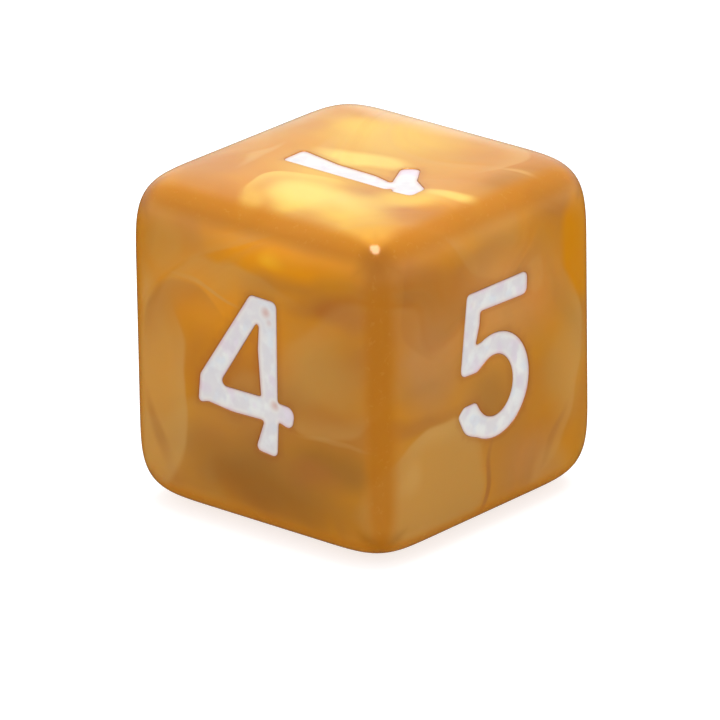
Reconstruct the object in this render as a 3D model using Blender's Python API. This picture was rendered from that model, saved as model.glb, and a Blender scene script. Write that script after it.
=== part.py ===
"""A six-sided numeral die, 16 mm across: one moulded resin body with a numeral engraved in each
face, and the enamel that fills each numeral.

Run it with blender --background --python part.py, or from Blender's text editor. It makes one
object for each physical piece, in metres, +Z up, with the origin at the die's centre. The 1 is on
top, the 4 faces -Y and the 5 faces +X. Opposite faces add up to seven.
"""

import math

import bmesh
import bpy
from mathutils import Matrix, Vector

MM = 0.001  # the dimensions below are in millimetres, and Blender's are in metres

# The body.
SIDE = 16.0
EDGE_REACH = 5.0  # how far each edge's rounding reaches across its two faces
EDGE_FULLNESS = 0.743  # the Bevel profile: 0.5 is a quarter circle, and 1 keeps the edge sharp
EDGE_SEGMENTS = 12

# The engraved groove of a numeral, and the enamel in it.
GROOVE_DEPTH = 0.45
GROOVE_DRAFT = 0.08  # how far each wall leans in at the groove's floor
ENAMEL_RECESS = 0.06  # how far the enamel lies below the face
ENAMEL_GAP = 0.02  # the clearance that keeps enamel and resin two separate solids
CUTTER_OVERRUN = 0.5  # how far a cutter stands out of the face
ARC_SAG = 0.006  # how far the straight edges of a round stretch may stray from its true curve

# The finishes. Colours are linear RGB.
RESIN_COLOUR = (0.60, 0.26, 0.045, 1.0)
RESIN_ROUGHNESS = 0.12
ENAMEL_COLOUR = (0.80, 0.77, 0.75, 1.0)
ENAMEL_ROUGHNESS = 0.35
ENAMEL_SHARP_ANGLE = 35.0  # degrees between two faces from which their edge is shaded sharp


def arc_steps(radius, turn):
    """How many straight edges an arc of this radius needs to turn by so many radians."""
    return max(2, math.ceil(abs(turn) / (2 * math.acos(1 - ARC_SAG / radius))))


def arc(centre, radii, start, end):
    """Points of an elliptical arc, from start to end in degrees. It runs clockwise if end is less."""
    first, turn = math.radians(start), math.radians(end - start)
    steps = arc_steps(max(radii), turn)
    angles = [first + turn * i / steps for i in range(steps + 1)]
    return [(centre[0] + radii[0] * math.cos(a), centre[1] + radii[1] * math.sin(a)) for a in angles]


# Each numeral's outlines, in millimetres, with x to the right and y up as the numeral is read, and
# the face's centre at 0, 0. The first outline is the outer edge, and any other is a counter. A
# point with a third number is a corner that is rounded to that radius.


def numeral_one():
    stem = [(1.72, 3.42, 0.05), (1.97, 3.20, 0.15), (1.90, -3.02, 0.22), (0.38, -3.08, 0.20)]
    stem += [(0.84, -0.60, 1.50), (0.91, 1.70, 1.50), (1.20, 2.86, 0.20), (1.44, 3.14, 0.05)]
    flag = [(0.92, 2.76, 0.60), (-0.52, 2.02, 0.32), (-1.02, 2.74, 0.30), (0.24, 3.60, 0.50)]
    flag += [(0.86, 4.58, 0.30), (1.93, 4.68, 0.24), (2.00, 3.62, 0.16)]
    return [stem + flag]


def numeral_two():
    bowl, outer, inner = (-0.12, 1.52), (2.42, 2.42), (1.34, 1.38)
    outline = [(-2.58, 1.58, 0.22), *arc(bowl, outer, 165, -38)]
    outline += [(-1.05, -2.46, 0.12), (2.40, -2.44, 0.28), (2.36, -3.52, 0.28)]
    outline += [(-2.58, -3.50, 0.25), (-2.55, -2.60, 0.30)]
    outline += [*arc(bowl, inner, -38, 165), (-1.44, 1.56, 0.22)]
    return [outline]


def numeral_three():
    top, top_outer, top_inner = (-0.15, 1.79), (2.15, 2.16), (1.08, 1.11)
    low, low_outer, low_inner = (-0.12, -1.42), (2.45, 2.10), (1.37, 1.05)
    outline = [(-2.34, 2.08, 0.20), *arc(top, top_outer, 160, -40), (1.36, 0.25, 0.10)]
    outline += [*arc(low, low_outer, 47, -162), (-2.58, -1.74, 0.22), (-1.46, -1.66, 0.22)]
    outline += [*arc(low, low_inner, -160, 86), (-0.76, -0.37, 0.25), (-0.76, 0.68, 0.25)]
    outline += [*arc(top, top_inner, -86, 158), (-1.26, 1.96, 0.20)]
    return [outline]


def numeral_four():
    outline = [(0.20, 3.94, 0.30), (1.77, 3.90, 0.28), (1.74, -0.95, 0.12), (2.80, -1.00, 0.42)]
    outline += [(2.58, -2.10, 0.34), (1.78, -1.84, 0.10), (1.68, -3.62, 0.26), (0.38, -3.50, 0.24)]
    outline += [(0.95, -1.97, 0.12), (-1.00, -2.02, 4.00), (-2.45, -1.86, 0.30), (-3.07, -2.04, 0.16)]
    outline += [(-2.92, -0.62, 0.35)]
    counter = [(0.73, 2.94, 0.05), (0.61, 1.40, 1.50), (0.76, -0.87, 0.08), (-1.82, -0.89, 0.26)]
    return [outline, counter]


def numeral_five():
    bowl, outer, inner = (-0.12, -0.94), (2.44, 2.52), (1.31, 1.49)
    outline = [(-1.97, 3.94, 0.20), (2.28, 3.92, 0.30), (2.22, 2.84, 0.30), (-1.06, 2.92, 0.12)]
    outline += [(-1.12, 2.30, 0.60), (-1.44, 1.34, 0.10), *arc(bowl, outer, 112, -120)]
    outline += [(-2.20, -2.78, 1.00), (-2.70, -1.76, 0.20), (-2.28, -1.40, 0.22), (-1.42, -1.40, 0.26)]
    outline += [*arc(bowl, inner, -147, 114), (-1.34, 0.04, 0.22), (-2.50, 0.08, 0.32)]
    return [outline]


def numeral_six():
    bowl, outer, inner = (0.0, -1.35), (2.35, 2.17), (1.27, 1.09)
    spine, spine_outer, spine_inner = (1.90, -1.35), (4.25, 5.30), (3.14, 4.24)
    outline = [*arc(spine, spine_outer, 180, 103), (1.30, 4.02, 0.26), (1.86, 3.06, 0.28)]
    outline += [*arc(spine, spine_inner, 98, 146), (-0.93, 0.74, 0.06)]
    outline += arc(bowl, outer, 106, -174)
    return [outline, arc(bowl, inner, 0, 360)[:-1]]


# Each numeral with the direction its face looks in and the direction that is up as it is read.
UP, DOWN = Vector((0, 0, 1)), Vector((0, 0, -1))
RIGHT, LEFT = Vector((1, 0, 0)), Vector((-1, 0, 0))
FRONT, BACK = Vector((0, -1, 0)), Vector((0, 1, 0))
FACES = [
    ("numeral_1", numeral_one, UP, RIGHT),
    ("numeral_2", numeral_two, LEFT, UP),
    ("numeral_3", numeral_three, BACK, UP),
    ("numeral_4", numeral_four, FRONT, UP),
    ("numeral_5", numeral_five, RIGHT, UP),
    ("numeral_6", numeral_six, DOWN, RIGHT),
]


def round_corner(before, corner, after, radius):
    """The points of the arc that rounds a corner, given the points before and after it."""
    here = Vector(corner)
    back = (Vector(before) - here).normalized()
    on = (Vector(after) - here).normalized()
    half = back.angle(on) / 2
    reach = radius / math.tan(half)
    middle = here + (back + on).normalized() * radius / math.sin(half)
    first = here + back * reach - middle
    turn = first.angle_signed(here + on * reach - middle)
    steps = arc_steps(radius, turn)
    # angle_signed is clockwise in 2D, and Matrix.Rotation is anticlockwise.
    return [(middle + Matrix.Rotation(-turn * i / steps, 2) @ first)[:] for i in range(steps + 1)]


def rounded(outline):
    """The outline as plain points, with its corners rounded."""
    points = []
    for i, point in enumerate(outline):
        if len(point) == 2:
            points.append(point)
            continue
        before, after = outline[i - 1][:2], outline[(i + 1) % len(outline)][:2]
        points += round_corner(before, point[:2], after, point[2])
    return points


def signed_area(loop):
    return sum(a[0] * b[1] - b[0] * a[1] for a, b in zip(loop, loop[1:] + loop[:1])) / 2


def numeral_loops(outlines):
    """A numeral's rounded outlines, each with the stroke on its left: the outer edge runs
    anticlockwise and a counter clockwise."""
    loops = []
    for number, outline in enumerate(outlines):
        loop = rounded(outline)
        wants_anticlockwise = number == 0
        if (signed_area(loop) > 0) != wants_anticlockwise:
            loop.reverse()
        loops.append(loop)
    return loops


def spread(loop, distance):
    """The loop with each point moved to its right, so that the stroke grows by distance."""
    moved = []
    for i, point in enumerate(loop):
        here = Vector(point)
        come = (here - Vector(loop[i - 1])).normalized()
        go = (Vector(loop[(i + 1) % len(loop)]) - here).normalized()
        along = (come + go).normalized()
        moved.append(here + Vector((along.y, -along.x)) * distance)
    return moved


def numeral_mesh(name, loops, levels):
    """A closed solid of a numeral. levels holds, from the bottom up, each height above the face
    and how far the stroke's edge is spread there."""
    bm = bmesh.new()
    ends = {0: [], len(levels) - 1: []}
    for loop in loops:
        rings = []
        for height, distance in levels:
            ring = [bm.verts.new((p.x * MM, p.y * MM, height * MM)) for p in spread(loop, distance)]
            rings.append(ring)
        for low, high in zip(rings, rings[1:]):
            for i in range(len(loop)):
                bm.faces.new((low[i - 1], low[i], high[i], high[i - 1]))
        for level, edges in ends.items():
            ring = rings[level]
            edges += [bm.edges.get((ring[i - 1], ring[i])) for i in range(len(ring))]
    for edges in ends.values():
        bmesh.ops.triangle_fill(bm, edges=edges, use_beauty=True)
    bmesh.ops.recalc_face_normals(bm, faces=bm.faces)
    mesh = bpy.data.meshes.new(name)
    bm.to_mesh(mesh)
    bm.free()
    return mesh


def face_placement(outward, up):
    """The matrix that puts a numeral, drawn in X and Y at the origin, in the middle of a face."""
    across = up.cross(outward)
    turn = Matrix((across, up, outward)).transposed().to_4x4()
    return Matrix.Translation(outward * SIDE / 2 * MM) @ turn


def add_object(name, mesh, placement, material=None):
    obj = bpy.data.objects.new(name, mesh)
    bpy.context.scene.collection.objects.link(obj)
    obj.matrix_world = placement
    if material:
        mesh.materials.append(material)
    return obj


def make_material(name, colour, roughness):
    material = bpy.data.materials.new(name)
    material.use_nodes = True
    shader = material.node_tree.nodes["Principled BSDF"]
    shader.inputs["Base Color"].default_value = colour
    shader.inputs["Roughness"].default_value = roughness
    shader.inputs["Metallic"].default_value = 0.0
    return material


def make_groove_cutter(name, loops, placement):
    """The solid that a numeral's groove is cut with. Its walls lean in from the face down."""
    levels = [(-GROOVE_DEPTH, -GROOVE_DRAFT), (0.0, 0.0), (CUTTER_OVERRUN, 0.0)]
    cutter = add_object(name + "_cutter", numeral_mesh(name + "_cutter", loops, levels), placement)
    cutter.display_type = "WIRE"
    cutter.hide_render = True
    return cutter


def make_enamel(name, loops, placement, material):
    """The enamel in a groove. It follows the groove's walls and floor, a small gap inside them."""
    floor = ENAMEL_GAP - GROOVE_DEPTH
    lean = GROOVE_DRAFT / GROOVE_DEPTH
    levels = [(z, z * lean - ENAMEL_GAP) for z in (floor, -ENAMEL_RECESS)]
    enamel = add_object(name, numeral_mesh(name, loops, levels), placement, material)
    enamel.data.shade_smooth()
    enamel.data.set_sharp_from_angle(angle=math.radians(ENAMEL_SHARP_ANGLE))
    return enamel


def make_body(cutters, material):
    """The resin body: a cube with full, rounded edges, and a groove for each numeral."""
    bm = bmesh.new()
    bmesh.ops.create_cube(bm, size=SIDE * MM)
    mesh = bpy.data.meshes.new("die_body")
    bm.to_mesh(mesh)
    bm.free()
    body = add_object("die_body", mesh, Matrix.Identity(4), material)
    mesh.shade_smooth()
    edges = body.modifiers.new("rounded_edges", "BEVEL")
    edges.limit_method = "NONE"
    edges.width = EDGE_REACH * MM
    edges.segments = EDGE_SEGMENTS
    edges.profile = EDGE_FULLNESS
    for cutter in cutters:
        groove = body.modifiers.new(cutter.name, "BOOLEAN")
        groove.operation = "DIFFERENCE"
        groove.solver = "EXACT"
        groove.object = cutter
    return body


def main():
    for obj in list(bpy.data.objects):
        bpy.data.objects.remove(obj)
    resin = make_material("pearl_resin", RESIN_COLOUR, RESIN_ROUGHNESS)
    enamel = make_material("white_enamel", ENAMEL_COLOUR, ENAMEL_ROUGHNESS)
    cutters = []
    for name, outlines, outward, up in FACES:
        loops = numeral_loops(outlines())
        placement = face_placement(outward, up)
        cutters.append(make_groove_cutter(name, loops, placement))
        make_enamel(name, loops, placement, enamel)
    make_body(cutters, resin)


main()
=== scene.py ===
"""The looks of a numeral die: a pearl resin body with rounded groove lips, and hand-filled enamel.

The body and the six enamel fills are finer meshes of the CAD solids. Each numeral's outline is
read from its CAD node. Sizes are in millimetres until a mesh is made, and face coordinates have x
to the right and y up as the face's numeral is read.
"""

import math

import bmesh
import bpy
import numpy as np
from mathutils import Matrix, Vector, noise
from mathutils.geometry import delaunay_2d_cdt


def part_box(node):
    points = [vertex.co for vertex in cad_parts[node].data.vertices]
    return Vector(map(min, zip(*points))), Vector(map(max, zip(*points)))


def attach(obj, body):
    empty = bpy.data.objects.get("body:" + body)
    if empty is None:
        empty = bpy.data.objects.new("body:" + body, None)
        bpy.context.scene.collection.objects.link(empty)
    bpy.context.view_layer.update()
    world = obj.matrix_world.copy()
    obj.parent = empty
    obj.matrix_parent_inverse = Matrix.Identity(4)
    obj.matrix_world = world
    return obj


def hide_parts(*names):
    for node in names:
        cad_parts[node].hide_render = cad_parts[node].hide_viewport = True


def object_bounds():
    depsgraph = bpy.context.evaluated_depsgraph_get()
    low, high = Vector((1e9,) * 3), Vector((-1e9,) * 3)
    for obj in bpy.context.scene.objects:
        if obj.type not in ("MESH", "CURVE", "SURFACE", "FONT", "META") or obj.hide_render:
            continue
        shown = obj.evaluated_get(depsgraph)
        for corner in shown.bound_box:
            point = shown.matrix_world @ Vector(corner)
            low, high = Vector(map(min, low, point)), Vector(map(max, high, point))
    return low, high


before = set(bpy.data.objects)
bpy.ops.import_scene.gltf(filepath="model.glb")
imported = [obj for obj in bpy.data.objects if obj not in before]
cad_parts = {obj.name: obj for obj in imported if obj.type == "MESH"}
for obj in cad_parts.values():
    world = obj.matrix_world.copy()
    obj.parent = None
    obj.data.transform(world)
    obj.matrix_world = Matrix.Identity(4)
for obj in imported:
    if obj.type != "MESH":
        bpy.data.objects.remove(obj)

MM = 0.001
CAD_LOW, CAD_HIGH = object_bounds()
HALF = (CAD_HIGH.x - CAD_LOW.x) / 2 / MM

# The body's rounding: each edge's reach across a face, and its superellipse exponent.
EDGE_REACH = 5.0
EDGE_POWER = 4.66

# The grooves, and the rounded lips that only the visual model has.
RIM_GROWTH = 0.031  # from the CAD enamel's upper edge out to the groove's wall
GROOVE_DEPTH = 0.45
GROOVE_DRAFT = 0.08  # how far a wall leans in on its way to the floor
LIP_RADIUS = 0.07
LIP_STEPS = 4
LIP_SHADE_REACH = 0.12  # over which the darker rim round a groove fades

# The outlines read from the CAD, and how closely they and the faces are divided.
OUTLINE_STEP = 0.07  # between the points of a resampled outline
OUTLINE_SOFTNESS = 0.05  # how far an outline's corners are softened
OUTLINE_TIGHTEST = 0.12  # the least radius that an outline turns with
EASING_ROUNDS = 500
BODY_STEP_FLAT = 0.4
BODY_STEP_ROUND = 0.25
BODY_CLEARANCE = 0.13  # between a groove's lip and the nearest point of the face's grid
LEAST_TRIANGLE = 1e-6  # twice the area of the smallest triangle that is kept
SAME_POINT = 1e-7
MERGE_DISTANCE = 1e-4
SAME_HEIGHT = 1e-3
NORMAL_KEY_DIGITS = 3  # decimals of a millimetre, by which a vertex is known again
DISTANCE_BATCH = 100  # outline points measured at a time, which keeps the arrays small

# The enamel.
ENAMEL_STEP = 0.09
ENAMEL_CLEARANCE = 0.05
ENAMEL_GAP = 0.004
ENAMEL_RIM = 0.035  # how far the enamel lies below the face where it meets the groove's wall
ENAMEL_SAG = 0.06  # how much deeper it lies away from the wall
ENAMEL_SAG_REACH = 0.16
ENAMEL_WAVE = 0.018
ENAMEL_WAVE_RATES = (1.1, 3.0)  # per millimetre, for the slow and the fast part of the wave
ENAMEL_WAVE_SLICES = (3.7, 9.1)  # where the noise is cut for each part
ENAMEL_SHADE_REACH = 0.09
ENAMEL_DRAFT = GROOVE_DRAFT / 2
ENAMEL_FLOOR_GAP = 0.02
ENAMEL_SHARP_ANGLE = 50
THIN_SPOT_DEPTH = 0.05

UP_AS_READ = {"numeral_1": Vector((1, 0, 0)), "numeral_6": Vector((1, 0, 0))}  # the rest: +Z

# Spots where the enamel is thin and the resin shows pink through it: x, y, radius, strength.
THIN_SPOTS = {
    "numeral_1": [(1.62, 3.20, 0.22, 0.8)],
    "numeral_2": [(1.55, 0.10, 0.20, 0.5), (-1.3, -2.9, 0.18, 0.4)],
    "numeral_3": [(1.35, 0.42, 0.20, 0.6)],
    "numeral_4": [(1.05, 3.25, 0.26, 1.0), (1.50, -1.15, 0.24, 1.0), (1.25, 2.80, 0.18, 0.6)],
    "numeral_5": [(-1.30, -0.28, 0.20, 0.5), (-1.50, 3.35, 0.20, 0.25)],
    "numeral_6": [(-1.55, -0.10, 0.22, 0.6)],
}


# ---------------------------------------------------------------------------------------------
# Outlines
# ---------------------------------------------------------------------------------------------


def face_placement(name):
    """The matrix that takes a face's coordinates, with z out of the face, to the die's."""
    low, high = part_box(name)
    middle = (low + high) / 2
    main = max(range(3), key=lambda i: abs(middle[i]))
    outward = Vector([math.copysign(1, middle[i]) if i == main else 0 for i in range(3)])
    up = UP_AS_READ.get(name, Vector((0, 0, 1)))
    return Matrix((up.cross(outward), up, outward)).transposed().to_4x4()


def cad_outlines(name, placement):
    """The edges round a CAD numeral's top, in face coordinates, with the stroke on the left."""
    bm = bmesh.new()
    bm.from_mesh(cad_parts[name].data)
    bm.transform(Matrix.Scale(1 / MM, 4) @ placement.inverted())
    bmesh.ops.remove_doubles(bm, verts=bm.verts, dist=MERGE_DISTANCE)
    top = max(v.co.z for v in bm.verts)
    cap = [f for f in bm.faces if all(top - v.co.z < SAME_HEIGHT for v in f.verts)]
    in_cap = set(cap)
    following = {}
    for face in cap:
        for loop in face.loops:
            if not all(f in in_cap for f in loop.edge.link_faces):
                following[loop.vert.index] = (loop.link_loop_next.vert.index, loop.vert.co.xy[:])
    bm.free()
    outlines = []
    while following:
        first = next(iter(following))
        points, here = [], first
        while here in following:
            here, point = following.pop(here)
            points.append(point)
        outlines.append(np.array(points))
    return outlines


def smoothed(points, passes):
    for _ in range(passes):
        points = (np.roll(points, 1, 0) + 2 * points + np.roll(points, -1, 0)) / 4
    return points


def eased(points, radius):
    """The closed outline with each turn opened up until its radius is at least this."""
    for _ in range(EASING_ROUNDS):
        before, after = np.roll(points, 1, 0), np.roll(points, -1, 0)
        middle = (before + after) / 2
        sag = np.hypot(*(middle - points).T)
        tight = sag > ((after - before) ** 2).sum(1) / (8 * radius)
        if not tight.any():
            break
        points = np.where(tight[:, None], (points + middle) / 2, points)
    return points


def resampled(points):
    """The closed outline with evenly spaced points and softened corners."""
    closed = np.vstack([points, points[:1]])
    lengths = np.hypot(*np.diff(closed, axis=0).T)
    along = np.concatenate([[0], np.cumsum(lengths)])
    count = int(round(along[-1] / OUTLINE_STEP))
    places = np.arange(count) * along[-1] / count
    even = np.stack([np.interp(places, along, closed[:, i]) for i in range(2)], 1)
    # One pass has a variance of half a step squared.
    soft = smoothed(even, int(round(2 * (OUTLINE_SOFTNESS / OUTLINE_STEP) ** 2)))
    return eased(soft, OUTLINE_TIGHTEST)


def outward_2d(points):
    """At each point of an outline, the unit direction away from the stroke."""
    along = np.roll(points, -1, 0) - np.roll(points, 1, 0)
    along /= np.hypot(*along.T)[:, None]
    return np.stack([along[:, 1], -along[:, 0]], 1)


def inside(points, outlines):
    """For each point, whether it is in the stroke, by counting the outlines' crossings."""
    crossings = np.zeros(len(points), int)
    for outline in outlines:
        a, b = outline, np.roll(outline, -1, 0)
        for (ax, ay), (bx, by) in zip(a, b):
            spans = (ay > points[:, 1]) != (by > points[:, 1])
            if spans.any():
                x = ax + (points[:, 1] - ay) * (bx - ax) / (by - ay if by != ay else 1)
                crossings += spans & (points[:, 0] < x)
    return crossings % 2 == 1


def distance(points, outlines):
    """For each point, the distance to the nearest point of the outlines."""
    rim = np.vstack(outlines)
    nearest = np.full(len(points), np.inf)
    for start in range(0, len(rim), DISTANCE_BATCH):
        gap = points[:, None, :] - rim[None, start : start + DISTANCE_BATCH, :]
        nearest = np.minimum(nearest, np.sqrt((gap**2).sum(2)).min(1))
    return nearest


def triangulated(outlines, loose, keep_stroke):
    """Triangles over the outlines and loose points, either in the stroke or outside it."""
    points = np.vstack([*outlines, loose])
    edges, start = [], 0
    for outline in outlines:
        count = len(outline)
        edges += [(start + i, start + (i + 1) % count) for i in range(count)]
        start += count
    made = delaunay_2d_cdt([Vector(p) for p in points], edges, [], 0, SAME_POINT, True)
    corners, faces = np.array([v[:] for v in made[0]]), np.array([list(f) for f in made[2]])
    # A straight edge's points are in line only to within rounding, which leaves triangles with no
    # area on the other side of it.
    first, second, third = (corners[faces[:, i]] for i in range(3))
    one, other = second - first, third - first
    faces = faces[np.abs(one[:, 0] * other[:, 1] - one[:, 1] * other[:, 0]) > LEAST_TRIANGLE]
    centres = corners[faces].mean(1)
    faces = faces[inside(centres, outlines) == keep_stroke]
    source = [ids[0] if ids else -1 for ids in made[3]]
    if len(corners) != len(points) or source != list(range(len(points))):
        raise RuntimeError("an outline crosses itself")
    return points, faces


# ---------------------------------------------------------------------------------------------
# Surfaces
# ---------------------------------------------------------------------------------------------


def rounded_surface(points):
    """Where the die's surface is over each point of a flat face, and its normal there."""
    cube = np.column_stack([points, np.full(len(points), HALF)])
    core = HALF - EDGE_REACH
    over = np.maximum(np.abs(cube) - core, 0) * np.sign(cube)
    reach = (np.abs(over) ** EDGE_POWER).sum(1) ** (1 / EDGE_POWER)
    over *= (EDGE_REACH / reach)[:, None]
    normals = np.sign(over) * np.abs(over) ** (EDGE_POWER - 1)
    normals /= np.sqrt((normals**2).sum(1))[:, None]
    return np.clip(cube, -core, core) + over, normals


def grid_lines():
    """The places of the body grid's lines along one side of a face, closer over the rounding."""
    core = HALF - EDGE_REACH
    flat = np.linspace(-core, core, int(round(2 * core / BODY_STEP_FLAT)) + 1)
    edge = np.linspace(core, HALF, int(round(EDGE_REACH / BODY_STEP_ROUND)) + 1)[1:]
    return np.concatenate([-edge[::-1], flat, edge])


class MeshParts:
    """Vertices, normals, faces and a shade value per vertex, gathered for one mesh."""

    def __init__(self):
        self.points, self.normals, self.shade, self.faces = [], [], [], []

    def add(self, points, normals, shade):
        """Adds vertices and returns the number of the first."""
        start = len(self.points)
        self.points += [tuple(p) for p in points]
        self.normals += [tuple(n) for n in normals]
        self.shade += [float(s) for s in shade]
        return start

    def band(self, first, second, count):
        """Quads from one ring to another. Seen from outside, the second is on the first's left."""
        for i in range(count):
            j = (i + 1) % count
            self.faces.append((first + i, first + j, second + j, second + i))


def placed(points, normals, placement):
    turn = np.array(placement.to_3x3())
    return points @ turn.T, normals @ turn.T


def add_body_face(parts, name):
    """One face of the body, with its numeral's groove."""
    placement = face_placement(name)
    rims = [resampled(o) for o in cad_outlines(name, placement)]
    rims = [rim + outward_2d(rim) * RIM_GROWTH for rim in rims]
    lips = [rim + outward_2d(rim) * LIP_RADIUS for rim in rims]
    lines = grid_lines()
    grid = np.stack(np.meshgrid(lines, lines), 2).reshape(-1, 2)
    grid = grid[(distance(grid, lips) > BODY_CLEARANCE) & ~inside(grid, lips)]
    flat, faces = triangulated(lips, grid, False)
    points, normals = rounded_surface(flat)
    points, normals = placed(points, normals, placement)
    start = parts.add(points, normals, np.exp(-distance(flat, rims) / LIP_SHADE_REACH))
    parts.faces += [tuple(int(i) + start for i in f) for f in faces]

    ring_start = start
    for rim in rims:
        away, count = outward_2d(rim), len(rim)
        below = ring_start
        for step in range(1, LIP_STEPS + 1):
            angle = math.pi / 2 * step / LIP_STEPS
            ring = rim + away * LIP_RADIUS * (1 - math.sin(angle))
            depth = LIP_RADIUS * (1 - math.cos(angle))
            tilt = np.column_stack([-away * math.sin(angle), np.full(count, math.cos(angle))])
            below = add_ring(parts, ring, depth, tilt, placement, below)
        ring = rim - away * GROOVE_DRAFT
        tilt = np.column_stack([-away, np.zeros(count)])
        add_ring(parts, ring, GROOVE_DEPTH, tilt, placement, below)
        ring_start += count
    floors = [rim - outward_2d(rim) * GROOVE_DRAFT for rim in rims]
    flat, faces = triangulated(floors, np.zeros((0, 2)), True)
    points = np.column_stack([flat, np.full(len(flat), HALF - GROOVE_DEPTH)])
    points, normals = placed(points, np.tile([0.0, 0.0, 1.0], (len(flat), 1)), placement)
    start = parts.add(points, normals, np.ones(len(flat)))
    parts.faces += [tuple(int(i) + start for i in f) for f in faces]


def add_ring(parts, ring, depth, tilt, placement, outer_start):
    """A ring of a groove's wall, joined to the ring above it. Returns its first vertex."""
    points = np.column_stack([ring, np.full(len(ring), HALF - depth)])
    points, normals = placed(points, tilt, placement)
    start = parts.add(points, normals, np.ones(len(ring)))
    parts.band(outer_start, start, len(ring))
    return start


def enamel_height(points, depth_in, spots):
    """The enamel's surface below the face: a meniscus, uneven as paint is, and thin in places."""
    height = -ENAMEL_RIM - ENAMEL_SAG * (1 - np.exp(-depth_in / ENAMEL_SAG_REACH))
    (slow, fast), (slow_slice, fast_slice) = ENAMEL_WAVE_RATES, ENAMEL_WAVE_SLICES
    for i, (x, y) in enumerate(points):
        wave = noise.noise(Vector((x * slow, y * slow, slow_slice)))
        wave += 0.5 * noise.noise(Vector((x * fast, y * fast, fast_slice)))
        height[i] += ENAMEL_WAVE * wave * min(1, depth_in[i] / ENAMEL_SAG_REACH)
    for x, y, radius, strength in spots:
        gap = (points[:, 0] - x) ** 2 + (points[:, 1] - y) ** 2
        height -= THIN_SPOT_DEPTH * strength * np.exp(-gap / radius**2)
    return height


def make_enamel_mesh(name):
    """A closed enamel fill. Its shade is 1 at the edge and at thin spots, and 0 elsewhere."""
    placement = face_placement(name)
    rims = [resampled(o) for o in cad_outlines(name, placement)]
    rims = [rim + outward_2d(rim) * (RIM_GROWTH - ENAMEL_GAP) for rim in rims]
    low, high = np.vstack(rims).min(0), np.vstack(rims).max(0)
    lines = [np.arange(low[i], high[i], ENAMEL_STEP) for i in range(2)]
    grid = np.stack(np.meshgrid(*lines), 2).reshape(-1, 2)
    grid = grid[inside(grid, rims)]
    grid = grid[distance(grid, rims) > ENAMEL_CLEARANCE]
    flat, faces = triangulated(rims, grid, True)
    on_rim = slice(0, len(flat) - len(grid))
    depth_in = distance(flat, rims)
    depth_in[on_rim] = 0
    spots = THIN_SPOTS[name]
    height = enamel_height(flat, depth_in, spots)
    shade = np.exp(-depth_in / ENAMEL_SHADE_REACH)
    for x, y, radius, strength in spots:
        gap = (flat[:, 0] - x) ** 2 + (flat[:, 1] - y) ** 2
        shade = np.maximum(shade, strength * np.exp(-gap / radius**2))

    parts = MeshParts()
    zero = np.zeros((len(flat), 3))
    top = np.column_stack([flat, HALF + height])
    points, normals = placed(top, zero, placement)
    parts.add(points, normals, shade)
    parts.faces += [tuple(int(i) for i in f) for f in faces]
    # The fill's wall leans in, half as far as the groove's.
    shift = np.zeros_like(flat)
    shift[on_rim] = np.vstack([-outward_2d(rim) for rim in rims]) * ENAMEL_DRAFT
    floor_height = HALF - GROOVE_DEPTH + ENAMEL_FLOOR_GAP
    bottom = np.column_stack([flat + shift, np.full(len(flat), floor_height)])
    points, normals = placed(bottom, zero, placement)
    start = parts.add(points, normals, shade)
    parts.faces += [tuple(int(i) + start for i in f[::-1]) for f in faces]
    ring_start = 0
    for rim in rims:
        parts.band(ring_start + start, ring_start, len(rim))
        ring_start += len(rim)
    return made_mesh(name + "_enamel", parts, False)


def made_mesh(name, parts, with_normals):
    """A mesh of the gathered parts, in metres, shaded smooth."""
    mesh = bpy.data.meshes.new(name)
    mesh.from_pydata([Vector(p) * MM for p in parts.points], [], parts.faces)
    shade = mesh.attributes.new("shade", "FLOAT", "POINT")
    shade.data.foreach_set("value", np.array(parts.shade, np.float32))
    mesh.shade_smooth()
    bm = bmesh.new()
    bm.from_mesh(mesh)
    bmesh.ops.remove_doubles(bm, verts=bm.verts, dist=MERGE_DISTANCE * MM)
    bm.to_mesh(mesh)
    bm.free()
    if with_normals:
        set_normals(mesh, parts)
    else:
        mesh.set_sharp_from_angle(angle=math.radians(ENAMEL_SHARP_ANGLE))
    return mesh


def set_normals(mesh, parts):
    """Gives each vertex the exact normal of the surface that its point was worked out from."""
    known = {}
    for point, normal in zip(parts.points, parts.normals):
        known[tuple(round(c, NORMAL_KEY_DIGITS) for c in point)] = normal
    normals = []
    for vertex in mesh.vertices:
        key = tuple(round(c / MM, NORMAL_KEY_DIGITS) for c in vertex.co)
        # A few lie on a rounding boundary. No normal leaves theirs to Blender.
        normals.append(known.get(key, (0.0, 0.0, 0.0)))
    mesh.normals_split_custom_set_from_vertices(normals)


def add_piece(name, mesh, material, replaced):
    piece = bpy.data.objects.new(name, mesh)
    bpy.context.scene.collection.objects.link(piece)
    mesh.materials.append(material)
    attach(piece, "root")
    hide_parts(replaced)
    return piece


# ---------------------------------------------------------------------------------------------
# Materials
# ---------------------------------------------------------------------------------------------


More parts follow.
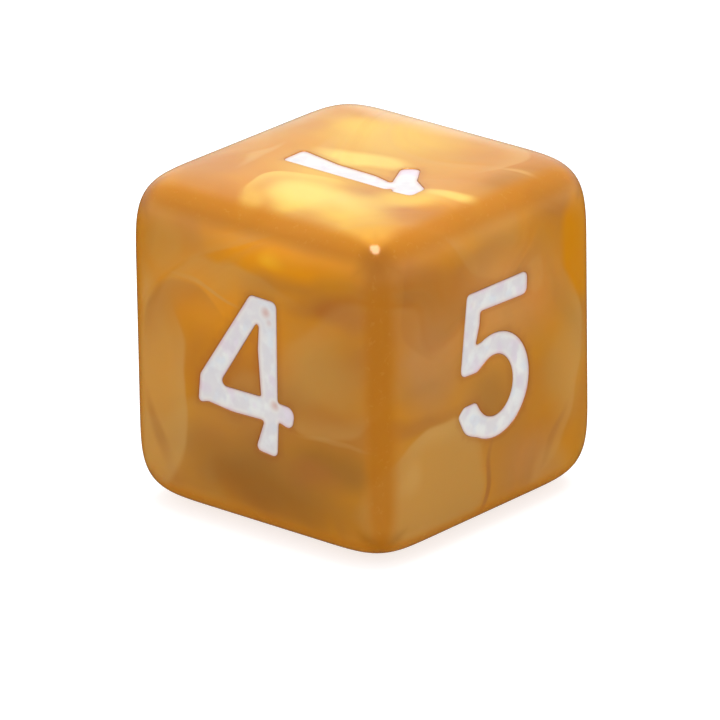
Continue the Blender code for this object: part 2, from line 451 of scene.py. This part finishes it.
class Tree:
    """A material's node tree, with a short method for each kind of node used here."""

    def __init__(self, name):
        self.material = bpy.data.materials.new(name)
        self.material.use_nodes = True
        self.nodes = self.material.node_tree.nodes
        self.links = self.material.node_tree.links
        self.shader = self.nodes["Principled BSDF"]
        coordinates = self.nodes.new("ShaderNodeTexCoord")
        self.place = self.vector("SCALE", coordinates.outputs["Object"], scale=1 / MM)

    def feed(self, socket, value):
        if isinstance(value, bpy.types.NodeSocket):
            self.links.new(value, socket)
        else:
            socket.default_value = value

    def math(self, operation, a, b=0.0):
        node = self.nodes.new("ShaderNodeMath")
        node.operation = operation
        for socket, value in zip(node.inputs, (a, b)):
            self.feed(socket, value)
        return node.outputs[0]

    def vector(self, operation, a, b=(0.0, 0.0, 0.0), scale=1.0):
        node = self.nodes.new("ShaderNodeVectorMath")
        node.operation = operation
        self.feed(node.inputs[0], a)
        if operation == "SCALE":
            self.feed(node.inputs["Scale"], scale)
        else:
            self.feed(node.inputs[1], b)
        return node.outputs["Value" if operation in ("LENGTH", "DOT_PRODUCT") else "Vector"]

    def split(self, value):
        """The three outputs of a vector."""
        node = self.nodes.new("ShaderNodeSeparateXYZ")
        self.feed(node.inputs[0], value)
        return node.outputs

    def noise(self, place, size, detail=2.0, roughness=0.5, distortion=0.0, output="Fac"):
        """Noise whose features are about size millimetres across."""
        node = self.nodes.new("ShaderNodeTexNoise")
        self.feed(node.inputs["Vector"], place)
        self.feed(node.inputs["Scale"], 1 / size)
        self.feed(node.inputs["Detail"], detail)
        self.feed(node.inputs["Roughness"], roughness)
        self.feed(node.inputs["Distortion"], distortion)
        return node.outputs[output]

    def smooth(self, value, low, high, to_low=0.0, to_high=1.0):
        """The value eased from one range to another, and held at the range's ends."""
        node = self.nodes.new("ShaderNodeMapRange")
        node.interpolation_type = "SMOOTHSTEP"
        for socket, number in zip(node.inputs, (value, low, high, to_low, to_high)):
            self.feed(socket, number)
        return node.outputs[0]

    def mix(self, share, a, b):
        """Colour a where the share is 0, and colour b where it is 1."""
        node = self.nodes.new("ShaderNodeMix")
        node.data_type = "RGBA"
        self.feed(node.inputs["Factor"], share)
        self.feed(node.inputs[6], a)
        self.feed(node.inputs[7], b)
        return node.outputs[2]

    def bump(self, height, distance, strength=1.0):
        node = self.nodes.new("ShaderNodeBump")
        self.feed(node.inputs["Height"], height)
        node.inputs["Distance"].default_value = distance * MM
        node.inputs["Strength"].default_value = strength
        return node.outputs["Normal"]


def rgb(red, green, blue):
    """A colour given as it looks on a screen, from 0 to 255, as linear RGBA."""
    linear = []
    for value in (red / 255, green / 255, blue / 255):
        linear.append(value / 12.92 if value < 0.0404 else ((value + 0.055) / 1.055) ** 2.4)
    return (*linear, 1.0)


# The resin's colours: transparent amber, a deeper amber painted into the corners as shade,
# redder resin, and pearl from dark to pale, some of which stand for painted light and shade.
CLEAR = (180, 111, 0)
CORNER_SHADE = (146, 84, 0)
AMBER = (166, 102, 18)
RUST = (168, 100, 40)
UMBER = (152, 97, 34)
TAN = (182, 116, 44)
GOLD = (202, 131, 20)
SAND = (194, 138, 62)
ROSE = (188, 128, 70)
APRICOT = (224, 145, 34)
PEACH = (212, 146, 88)
WHEAT = (204, 146, 68)
# An orange glow and a flame yellow, both painted light along the tops of the side faces.
GLOW = (226, 144, 0)
FLAME = (240, 170, 20)
HONEY = (207, 152, 46)
YELLOW = (226, 182, 68)
CREAM = (232, 197, 92)
PALE = (206, 158, 88)
MILKY_REFLECTION = (236, 200, 152)
MARIGOLD = (206, 130, 0)

VEIL_DEPTH = 3.2  # how far below its face a veil reaches
FOLD_FADE = (0.55, 0.98)  # the radii, in its ellipse, between which a fold comes in
FOLD_EDGE = (0.98, 1.05)  # and those between which it ends
FOLD_SPAN = (0.3, 0.95)  # how far towards the arc's middle it starts, and is at full strength

# Where the edges and corners start and are complete: the middle one of a point's three
# distances from the die's centre planes for the edges, and the least one for the corners.
EDGE_BAND = (6.4, 7.1)
CORNER_BAND = (5.9, 6.9)
FACE_STAGGER = 0.001

RIPPLES = 5.0  # over the full range of the sheet noise
SILK_ALONG, SILK_ACROSS = 0.1, 6.0  # how fast silk changes along the sheet's contours and across

# How strongly each thing shows in the resin's colour.
CREST_STRENGTH = 0.22
EDGE_STRENGTH = 0.85
CORNER_STRENGTH = 0.6
SCUFF_STRENGTH = 0.12
SCUFF_DULLING = 0.4
# The darker groove rim is partly enamel stain and partly painted shade.
LIP_STRENGTH = 0.6
LIP_SHADE = (164, 92, 44)

# The enamel's colours: two whites, two faint tints, the thinner middle, and pink at the edge.
WHITE = (210, 211, 210)
WARM_WHITE = (216, 216, 212)
LILAC = (208, 192, 208)
ICE = (194, 202, 212)
THIN_GREY = (196, 189, 194)
PINK = (186, 122, 102)
PINK_STRENGTH = 0.6

# Veils near the surface of each face, most of them the pearl's own swirl and some painted light
# and shade, as marked: x, y, half width, half height, turn in degrees, colour, strength and
# crispness, which is 0 for a soft cloud and 1 for a hard edge.
VEILS = {
    "numeral_1": [
        # On the top face, the honey, yellow and cream veils are partly the pearl's swirl and partly
        # painted sheen of the overhead light.
        (-2.5, -0.4, 4.4, 5.0, 0, HONEY, 0.8, 0.2),
        (-3.6, -1.2, 2.9, 3.6, 12, YELLOW, 0.6, 0.2),
        (-4.1, -3.0, 1.4, 2.6, 12, YELLOW, 0.6, 0.2),
        (-4.6, 5.8, 4.4, 1.6, -4, TAN, 0.9, 0.2),
        (-3.0, 6.7, 3.6, 1.1, 0, UMBER, 0.7, 0.1),
        # Painted reflection: two milky veils along the top face's far edges.
        (-6.9, -1.8, 1.7, 6.0, 0, MILKY_REFLECTION, 0.8, 0.1),
        (-1.0, -7.1, 6.4, 1.3, 0, MILKY_REFLECTION, 0.6, 0.1),
        (-4.2, 6.2, 0.2, 1.1, 33, PALE, 0.6, 0.3),
        (4.5, -5.0, 3.4, 1.6, 8, TAN, 0.8, 0.3),
        (1.9, -4.4, 1.8, 0.22, 8, PALE, 0.6, 0.3),
        (-1.5, -5.4, 3.0, 1.2, 0, SAND, 0.5, 0.2),
        (6.4, -3.2, 1.2, 2.2, 0, TAN, 0.7, 0.3),
        (2.3, 4.8, 2.4, 1.1, -38, YELLOW, 0.8, 0.3),
        (6.0, 5.3, 1.5, 2.6, -24, HONEY, 1.0, 0.4),
        (5.2, 2.6, 2.2, 3.4, -8, YELLOW, 0.8, 0.4),
        (1.7, -0.2, 2.3, 3.4, 0, YELLOW, 0.65, 0.1),
        (4.6, 0.6, 1.9, 2.3, -25, CREAM, 1.0, 0.3),
        (6.2, -1.3, 1.3, 0.7, 35, CREAM, 0.4, 0.3),
        (4.2, 2.8, 1.1, 1.8, -20, CREAM, 0.8, 0.1),
        (0.7, 5.8, 0.5, 1.6, 25, CREAM, 1.0, 0.4),
        (3.0, 6.7, 1.4, 0.7, 0, TAN, 0.8, 0.3),
        (6.9, 2.7, 0.9, 1.9, 0, TAN, 0.7, 0.2),
        (-0.35, 0.1, 0.9, 2.8, 6, CREAM, 0.9, 0.5),
    ],
    "numeral_2": [
        (-3.6, 2.6, 3.4, 3.2, 20, SAND, 0.8, 0.7),
        (4.4, -3.4, 2.6, 3.0, -20, RUST, 0.7, 0.3),
        # Painted light: an orange glow towards the top of the face.
        (3.6, 4.4, 2.8, 1.6, 12, GLOW, 0.6, 0.3),
        (-4.0, -4.8, 3.2, 1.8, 0, UMBER, 0.7, 0.3),
        # Painted shade: a deeper, more saturated band along the side edge.
        (6.5, 1.5, 1.5, 3.6, 0, CLEAR, 0.8, 0.7),
        (0.6, -4.4, 0.3, 2.0, 20, RUST, 0.7, 0.3),
    ],
    "numeral_3": [
        (3.8, 3.2, 3.0, 3.4, -16, SAND, 0.8, 0.7),
        (-4.2, -2.2, 2.4, 4.4, 10, ROSE, 0.7, 0.5),
        # Painted light: an orange glow towards the top of the face.
        (-2.6, 5.9, 4.0, 1.0, 4, GLOW, 0.8, 0.2),
        (2.8, -4.6, 4.0, 2.0, 0, UMBER, 0.8, 0.3),
        (5.2, -1.6, 2.4, 0.2, 8, PALE, 0.5, 0.3),
        # Painted shade: a deeper, more saturated band along the side edge.
        (-6.5, 3.5, 1.4, 3.2, 0, CLEAR, 0.8, 0.7),
    ],
    "numeral_4": [
        (-4.9, 5.3, 1.1, 1.5, 0, SAND, 0.5, 0.5),
        (-1.2, 3.2, 5.2, 2.6, -4, APRICOT, 0.9, 0.2),
        (-2.2, 3.75, 2.2, 0.16, -11, PALE, 0.45, 0.3),
        # Painted light: an orange glow along the top of the face, and a brighter painted spot in
        # it.
        (1.8, 6.2, 4.8, 1.0, 1, GLOW, 1.0, 0.25),
        (1.6, 6.1, 0.75, 0.4, 0, FLAME, 0.8, 0.0),
        (5.2, 4.2, 2.7, 0.8, 6, RUST, 0.8, 0.2),
        (4.6, 1.0, 2.6, 2.1, -6, SAND, 0.85, 0.25),
        (5.4, -1.4, 3.0, 1.2, 0, TAN, 0.9, 0.3),
        (5.0, -3.1, 3.4, 1.2, 0, UMBER, 0.8, 0.2),
        (5.2, -2.0, 2.3, 0.13, 2, PALE, 0.3, 0.3),
        (0.5, -5.2, 6.4, 2.3, -4, UMBER, 0.9, 0.2),
        (3.8, -3.9, 1.8, 1.0, 0, RUST, 0.8, 0.2),
        (-6.8, -1.6, 3.3, 5.6, 4, WHEAT, 0.9, 0.75),
        (-5.4, -4.4, 0.4, 2.3, 28, RUST, 0.6, 0.3),
        # Painted shade: a deeper, more saturated band along the side edge.
        (-7.3, 3.6, 1.0, 3.9, 0, MARIGOLD, 1.0, 0.5),
    ],
    "numeral_5": [
        (-4.4, 4.6, 3.2, 2.2, 0, TAN, 0.7, 0.2),
        (-4.7, 1.4, 2.1, 2.8, 0, ROSE, 0.9, 0.3),
        (0.0, 6.6, 6.0, 0.9, 0, GOLD, 0.8, 0.2),
        (0.8, 3.0, 4.4, 3.0, 0, PEACH, 0.6, 0.1),
        (5.2, -1.0, 1.8, 3.0, 0, SAND, 0.8, 0.4),
        (2.4, -5.6, 2.4, 1.8, 0, ROSE, 0.7, 0.3),
        (-0.4, -1.2, 1.7, 1.7, 0, UMBER, 0.6, 0.2),
        # Painted shade: a deeper, more saturated band along the side edge.
        (6.5, 4.2, 1.7, 3.0, 0, MARIGOLD, 1.0, 0.85),
        (4.2, -4.5, 0.3, 1.8, -36, RUST, 0.6, 0.3),
        (-5.2, -1.3, 2.6, 0.5, -6, RUST, 0.6, 0.3),
        (-4.5, -5.0, 3.9, 3.5, 0, SAND, 1.0, 0.93),
        (-6.2, -3.6, 0.8, 1.0, 0, PALE, 0.5, 0.2),
        (-0.5, -5.6, 0.28, 2.4, -6, RUST, 0.9, 0.4),
    ],
    "numeral_6": [
        (-3.0, 3.6, 3.6, 2.6, 24, SAND, 0.8, 0.7),
        (4.2, -2.4, 2.4, 4.0, -10, RUST, 0.7, 0.3),
        (-3.8, -4.6, 3.0, 1.8, 12, HONEY, 0.6, 0.4),
        (3.4, 4.6, 2.6, 0.2, -18, PALE, 0.5, 0.3),
    ],
}

# Folds of pearl, seen as a thin arc that fades towards the middle of its ellipse: x, y, half
# width, half height and turn, the direction of the arc's middle, colour and strength.
FOLDS = {
    "numeral_1": [
        (-3.0, 2.0, 4.2, 3.0, -30, 130, PALE, 0.5),
        (5.0, 0.8, 2.6, 3.2, -25, 230, CREAM, 0.6),
    ],
    "numeral_2": [
        (1.0, 0.5, 5.0, 4.0, 30, 140, PALE, 0.5),
        (-2.0, -3.0, 4.0, 3.0, -20, 250, PALE, 0.5),
    ],
    "numeral_3": [
        (-1.0, 1.0, 4.4, 5.4, 15, 20, PALE, 0.5),
        (2.0, -3.5, 4.0, 3.0, 10, 110, PALE, 0.5),
    ],
    "numeral_4": [
        (-6.8, -1.6, 3.3, 5.6, 4, -15, PALE, 0.6),
        (-3.4, -1.2, 3.2, 5.0, 8, 110, RUST, 0.5),
        (4.2, 1.6, 4.0, 3.6, 0, 275, PALE, 0.35),
        (-0.5, 0.6, 5.4, 4.8, -10, 110, PALE, 0.35),
    ],
    "numeral_5": [
        (-4.5, -5.0, 3.8, 3.4, 0, 80, PALE, 0.6),
        (1.6, -0.8, 4.6, 5.6, 0, 350, PALE, 0.35),
        (-3.0, 4.5, 3.6, 3.0, 20, 200, RUST, 0.4),
    ],
    "numeral_6": [
        (1.0, 1.0, 4.6, 3.6, 25, 60, PALE, 0.5),
        (-2.0, -2.0, 4.0, 4.6, 0, 200, PALE, 0.4),
    ],
}


def ellipse(tree, place, name, x, y, width, height, turn):
    """Coordinates in which an ellipsoid, centred on a face, has a radius of 1."""
    placement = face_placement(name)
    basis = placement.to_3x3() @ Matrix.Rotation(math.radians(turn), 3, "Z")
    node = tree.nodes.new("ShaderNodeMapping")
    node.vector_type = "TEXTURE"
    tree.feed(node.inputs["Vector"], place)
    node.inputs["Location"].default_value = placement @ Vector((x, y, HALF))
    node.inputs["Rotation"].default_value = basis.to_euler()
    node.inputs["Scale"].default_value = (width, height, VEIL_DEPTH)
    return node.outputs[0]


def add_veil(tree, place, name, veil, colour):
    """The colour with a cloud of another colour in it, which fades between two radii."""
    x, y, width, height, turn, tint, strength, crispness = veil
    local = ellipse(tree, place, name, x, y, width, height, turn)
    inner, outer = 0.9 * crispness, 1.35 - 0.3 * crispness
    share = tree.smooth(tree.vector("LENGTH", local), inner, outer, strength, 0.0)
    return tree.mix(share, colour, rgb(*tint))


def add_fold(tree, place, name, fold, colour):
    """The colour with a thin arc of another colour in it."""
    x, y, width, height, turn, towards, tint, strength = fold
    local = ellipse(tree, place, name, x, y, width, height, turn)
    radius = tree.vector("LENGTH", local)
    fade_in, cut_off = tree.smooth(radius, *FOLD_FADE), tree.smooth(radius, *FOLD_EDGE, 1.0, 0.0)
    angle = math.radians(towards - turn)
    side = tree.vector("DOT_PRODUCT", local, (math.cos(angle), math.sin(angle), 0.0))
    share = tree.math("MULTIPLY", fade_in, cut_off)
    share = tree.math("MULTIPLY", share, tree.smooth(side, *FOLD_SPAN, 0.0, strength))
    return tree.mix(share, colour, rgb(*tint))


def warped(tree, place, size, reach, detail=0.0):
    """The place moved by up to half of reach, by noise of that size."""
    shift = tree.noise(place, size, detail, output="Color")
    shift = tree.vector("SUBTRACT", shift, (0.5, 0.5, 0.5))
    return tree.vector("ADD", place, tree.vector("SCALE", shift, scale=reach))


def edge_shares(tree, place):
    """Two values, both 0 on the faces: 1 along the edges and corners, and 1 at the corners only."""
    x, y, z = tree.split(tree.vector("ABSOLUTE", place))
    highest = tree.math("MAXIMUM", x, tree.math("MAXIMUM", y, z))
    lowest = tree.math("MINIMUM", x, tree.math("MINIMUM", y, z))
    total = tree.math("ADD", x, tree.math("ADD", y, z))
    middle = tree.math("SUBTRACT", tree.math("SUBTRACT", total, highest), lowest)
    return tree.smooth(middle, *EDGE_BAND), tree.smooth(lowest, *CORNER_BAND)


def pearl_material():
    tree = Tree("pearl_resin")
    place = tree.place
    # Two rounds of warping turn plain noise into drawn-out folds.
    bent = warped(tree, place, size=14.0, reach=20.0)
    folded = warped(tree, bent, size=8.0, reach=6.0)
    sheet = tree.noise(folded, size=14.0, detail=1.0, roughness=0.4)
    cloud = tree.smooth(tree.noise(place, size=9.0, distortion=1.2), 0.3, 0.7)
    ripple = tree.math("FRACT", tree.math("MULTIPLY", sheet, RIPPLES))
    # Each ripple is pale at its crest and fades away from it on one side.
    rising, falling = tree.smooth(ripple, 0.3, 0.9), tree.smooth(ripple, 0.9, 1.0, 1.0, 0.0)
    crest = tree.math("MULTIPLY", rising, falling)
    silk_place = tree.vector("SCALE", folded, scale=SILK_ALONG)
    silk_place = tree.vector("ADD", silk_place, tree.math("MULTIPLY", sheet, SILK_ACROSS))
    silk = tree.noise(silk_place, size=1.0)

    colour = tree.mix(cloud, rgb(*GOLD), rgb(*TAN))
    drifted = warped(tree, place, size=3.5, reach=1.8, detail=1.0)
    for name in VEILS:
        for veil in VEILS[name]:
            colour = add_veil(tree, drifted, name, veil, colour)
        for fold in FOLDS[name]:
            colour = add_fold(tree, drifted, name, fold, colour)
        # Cycles can't hold every face's coordinates at once, and gives a black surface. A shift
        # too small to see makes the next face's wait until this face's colour is known.
        drifted = tree.vector("ADD", drifted, tree.vector("SCALE", colour, scale=FACE_STAGGER))
    colour = tree.mix(tree.math("MULTIPLY", crest, CREST_STRENGTH), colour, rgb(*PALE))
    colour = tree.mix(tree.smooth(silk, 0.35, 0.7, 0.0, 0.16), colour, rgb(*PALE))
    colour = tree.mix(tree.smooth(silk, 0.25, 0.5, 0.14, 0.0), colour, rgb(*RUST))

    # Painted light and shade: the edges are painted a deeper amber, brighter round the top where
    # the light falls, and the corners are painted darker still.
    edge, corner = edge_shares(tree, place)
    painted_edge_tone = tree.mix(tree.smooth(tree.split(place)[2], 6.0, 7.6), rgb(*AMBER), rgb(*CLEAR))
    colour = tree.mix(tree.math("MULTIPLY", edge, EDGE_STRENGTH), colour, painted_edge_tone)
    colour = tree.mix(tree.math("MULTIPLY", corner, CORNER_STRENGTH), colour, rgb(*CORNER_SHADE))
    # Handling has scuffed the gloss along them, in fine specks.
    specks = tree.smooth(tree.noise(place, size=0.3, detail=3.0, roughness=0.6), 0.58, 0.72)
    scuff = tree.math("MULTIPLY", edge, specks)
    colour = tree.mix(tree.math("MULTIPLY", scuff, SCUFF_STRENGTH), colour, rgb(*PALE))
    gloss = tree.math("SUBTRACT", 1.0, tree.math("MULTIPLY", scuff, SCUFF_DULLING))
    tree.feed(tree.shader.inputs["Coat Weight"], gloss)
    # Painted shade and stain: the rim round each groove, and its walls and floor, are painted
    # darker, partly as enamel stain and partly as shade at and in the groove.
    shade = tree.nodes.new("ShaderNodeAttribute")
    shade.attribute_name = "shade"
    lip = tree.math("MULTIPLY", shade.outputs["Fac"], LIP_STRENGTH)
    colour = tree.mix(lip, colour, rgb(*LIP_SHADE))
    tree.feed(tree.shader.inputs["Base Color"], colour)

    off_edge = tree.math("SUBTRACT", 1.0, edge)
    metal = tree.math("MULTIPLY", off_edge, tree.smooth(silk, 0.2, 0.8, 0.15, 0.4))
    tree.feed(tree.shader.inputs["Metallic"], metal)
    tree.feed(tree.shader.inputs["Roughness"], tree.smooth(silk, 0.25, 0.75, 0.38, 0.52))
    relief = tree.math("ADD", sheet, tree.math("MULTIPLY", silk, 0.05))
    tree.feed(tree.shader.inputs["Normal"], tree.bump(relief, distance=3.0, strength=0.6))
    tree.shader.inputs["Subsurface Weight"].default_value = 0.3
    tree.shader.inputs["Subsurface Radius"].default_value = (1.0, 0.42, 0.12)
    tree.shader.inputs["Subsurface Scale"].default_value = 1.0 * MM
    tree.shader.inputs["IOR"].default_value = 1.3
    tree.shader.inputs["Specular IOR Level"].default_value = 0.0
    tree.shader.inputs["Coat Roughness"].default_value = 0.13
    tree.shader.inputs["Coat IOR"].default_value = 1.35
    return tree.material


def enamel_material():
    tree = Tree("white_enamel")
    place = tree.place
    patch = tree.smooth(tree.noise(place, size=1.3), 0.35, 0.65)
    colour = tree.mix(patch, rgb(*WHITE), rgb(*WARM_WHITE))
    tint = tree.noise(place, size=0.9, detail=1.0)
    colour = tree.mix(tree.smooth(tint, 0.52, 0.72, 0.0, 0.6), colour, rgb(*LILAC))
    colour = tree.mix(tree.smooth(tint, 0.3, 0.46, 0.5, 0.0), colour, rgb(*ICE))
    shade = tree.nodes.new("ShaderNodeAttribute")
    shade.attribute_name = "shade"
    # The paint is thicker and paler in a ridge along each edge, and greyer in the middle.
    middle = tree.smooth(shade.outputs["Fac"], 0.0, 0.2, 0.55, 0.0)
    middle = tree.math("MULTIPLY", middle, tree.smooth(tree.noise(place, size=0.7), 0.35, 0.6))
    colour = tree.mix(middle, colour, rgb(*THIN_GREY))
    pink = tree.math("MULTIPLY", shade.outputs["Fac"], PINK_STRENGTH)
    colour = tree.mix(pink, colour, rgb(*PINK))
    tree.feed(tree.shader.inputs["Base Color"], colour)
    rough = tree.smooth(tree.noise(place, size=0.5), 0.3, 0.7, 0.32, 0.48)
    tree.feed(tree.shader.inputs["Roughness"], rough)
    relief = tree.noise(place, size=0.25, detail=3.0, roughness=0.6)
    tree.feed(tree.shader.inputs["Normal"], tree.bump(relief, distance=0.02, strength=0.5))
    tree.shader.inputs["Specular IOR Level"].default_value = 0.4
    return tree.material


# ---------------------------------------------------------------------------------------------
# Stage, lights and camera
# ---------------------------------------------------------------------------------------------


WORLD_LOW, WORLD_HIGH = 0.04, 0.92  # the studio's brightness below the horizon and overhead
WORLD_RISE = (-0.3, 0.2)  # the heights, of a unit direction, between which it changes
FLOOR_DARK, FLOOR_PALE = (178, 178, 178), (183, 183, 183)
FLOOR_GLOW = 0.72
FLOOR_RADIUS_M = 3.0
FLOOR_GAP = 0.02  # under the die, so that its lowest face isn't in the same plane


def make_floor():
    """A wide disc of lit acrylic, so that the shadow on it stays faint."""
    tree = Tree("pale_floor")
    grain = tree.smooth(tree.noise(tree.place, size=40.0), 0.3, 0.7)
    colour = tree.mix(grain, rgb(*FLOOR_DARK), rgb(*FLOOR_PALE))
    tree.feed(tree.shader.inputs["Base Color"], colour)
    tree.shader.inputs["Roughness"].default_value = 0.9
    tree.shader.inputs["Specular IOR Level"].default_value = 0.0
    tree.shader.inputs["Emission Color"].default_value = (1.0, 1.0, 1.0, 1.0)
    tree.shader.inputs["Emission Strength"].default_value = FLOOR_GLOW
    bm = bmesh.new()
    bmesh.ops.create_circle(bm, cap_ends=True, segments=96, radius=FLOOR_RADIUS_M)
    mesh = bpy.data.meshes.new("floor")
    bm.to_mesh(mesh)
    bm.free()
    mesh.materials.append(tree.material)
    floor = bpy.data.objects.new("floor", mesh)
    floor.location.z = CAD_LOW.z - FLOOR_GAP * MM
    bpy.context.scene.collection.objects.link(floor)
    # Left out of reflections, where it would veil the sides' colour.
    floor.visible_glossy = False


def make_light(name, azimuth, elevation, distance_mm, width_mm, height_mm, watts):
    """An oval softbox that faces the die. Azimuth 0 is at -Y and 90 at +X."""
    data = bpy.data.lights.new(name, "AREA")
    data.shape = "ELLIPSE"
    data.size, data.size_y = width_mm * MM, height_mm * MM
    data.energy = watts
    light = bpy.data.objects.new(name, data)
    a, e = math.radians(azimuth), math.radians(elevation)
    away = Vector((math.sin(a) * math.cos(e), -math.cos(a) * math.cos(e), math.sin(e)))
    light.location = away * distance_mm * MM
    light.rotation_mode = "QUATERNION"
    light.rotation_quaternion = away.to_track_quat("Z", "Y")
    bpy.context.scene.collection.objects.link(light)
    return light


def make_lights():
    """The two lights, and a plain studio that is brighter overhead than round the sides."""
    # The overhead light is left out of reflections, so that it makes no highlight of its own.
    overhead = make_light(
        "overhead_softbox", azimuth=200, elevation=75, distance_mm=420,
        width_mm=420, height_mm=420, watts=1.6,
    )
    overhead.visible_glossy = False
    # The card that makes the small highlight on the front corner. It gives no diffuse light.
    highlight = make_light(
        "highlight_card", azimuth=47.7, elevation=76.0, distance_mm=300,
        width_mm=98, height_mm=156, watts=0.85,
    )
    highlight.visible_diffuse = False
    highlight.data.color = (1.0, 0.82, 0.62)
    world = bpy.data.worlds.new("studio")
    bpy.context.scene.world = world
    world.use_nodes = True
    nodes, links = world.node_tree.nodes, world.node_tree.links
    background = nodes["Background"]
    background.inputs["Color"].default_value = (1.0, 1.0, 1.0, 1.0)
    coordinates = nodes.new("ShaderNodeTexCoord")
    apart = nodes.new("ShaderNodeSeparateXYZ")
    rise = nodes.new("ShaderNodeMapRange")
    rise.interpolation_type = "SMOOTHSTEP"
    for socket, number in zip(list(rise.inputs)[1:5], (*WORLD_RISE, WORLD_LOW, WORLD_HIGH)):
        socket.default_value = number
    links.new(coordinates.outputs["Generated"], apart.inputs[0])
    links.new(apart.outputs["Z"], rise.inputs[0])
    links.new(rise.outputs[0], background.inputs["Strength"])
    bpy.context.scene.view_settings.view_transform = "Standard"


def make_camera():
    """The camera, with azimuth and elevation in degrees and its offsets in millimetres."""
    azimuth, elevation, roll = math.radians(40.99), math.radians(21.2), math.radians(-0.903)
    distance_mm, right_mm, up_mm = 430.3, 0.126, 1.572
    back = Vector((
        math.sin(azimuth) * math.cos(elevation),
        -math.cos(azimuth) * math.cos(elevation),
        math.sin(elevation),
    ))
    level = (-back).cross(Vector((0, 0, 1))).normalized()
    over = level.cross(-back)
    right = level * math.cos(roll) + over * math.sin(roll)
    up = over * math.cos(roll) - level * math.sin(roll)
    data = bpy.data.cameras.new("camera")
    data.sensor_width = 36.0
    data.lens = 468.7
    data.clip_start, data.clip_end = 0.01, 10.0
    camera = bpy.data.objects.new("camera", data)
    turn = Matrix((right, up, back)).transposed().to_4x4()
    place = (back * distance_mm - right * right_mm - up * up_mm) * MM
    camera.matrix_world = Matrix.Translation(place) @ turn
    bpy.context.scene.collection.objects.link(camera)
    bpy.context.scene.camera = camera


def main():
    numerals = sorted(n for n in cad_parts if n.startswith("numeral_"))
    make_floor()
    make_lights()
    make_camera()
    body = MeshParts()
    for name in numerals:
        add_body_face(body, name)
    resin = made_mesh("resin_body", body, True)
    add_piece("resin_body", resin, pearl_material(), "die_body")
    enamel = enamel_material()
    for name in numerals:
        add_piece(name + "_enamel", make_enamel_mesh(name), enamel, name)


main()
